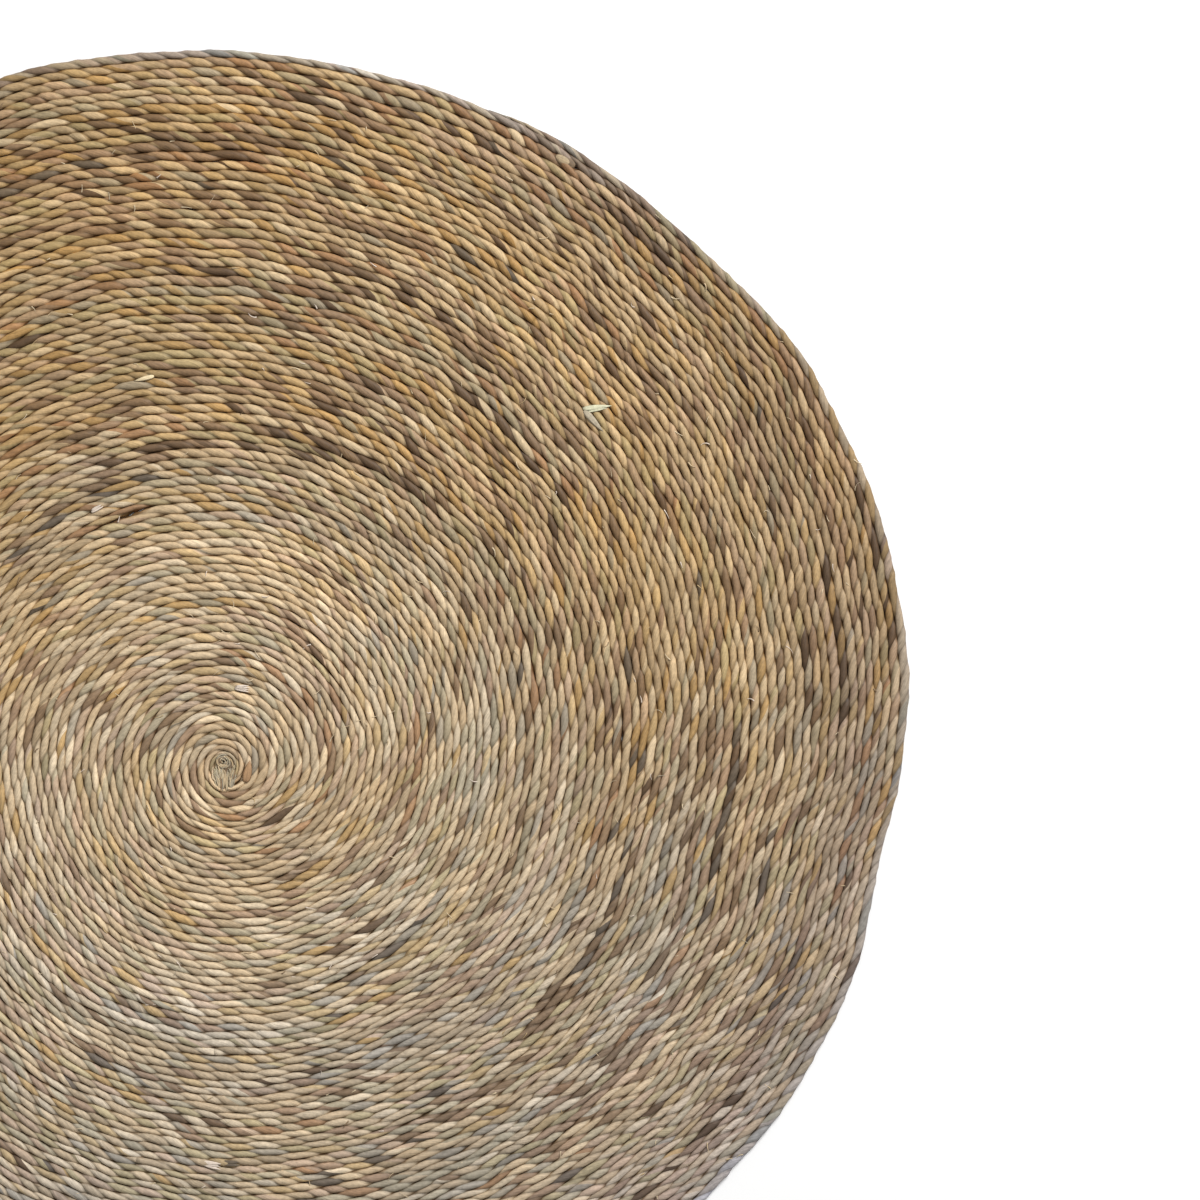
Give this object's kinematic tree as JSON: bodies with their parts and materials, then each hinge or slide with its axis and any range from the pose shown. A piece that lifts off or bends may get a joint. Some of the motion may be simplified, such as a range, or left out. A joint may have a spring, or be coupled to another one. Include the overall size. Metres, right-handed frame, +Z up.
{
  "type": "seagrass mat",
  "caption": "Round flat floor mat made of a long twisted seagrass cord wound in a spiral, with its rounds side by side and an uneven rim.",
  "frame": {"origin": "under the middle of the mat's box, on the surface that it lies on", "axes": "+Z up through the thickness, +Y towards the top of the picture, +X towards its right"},
  "size_m": [1.2034, 1.1978, 0.0077],
  "materials": {
    "seagrass": "dried twisted leaf, matt with a faint sheen"
  },
  "bodies": {
    "root": {"mat": "seagrass"}
  },
  "joints": []
}
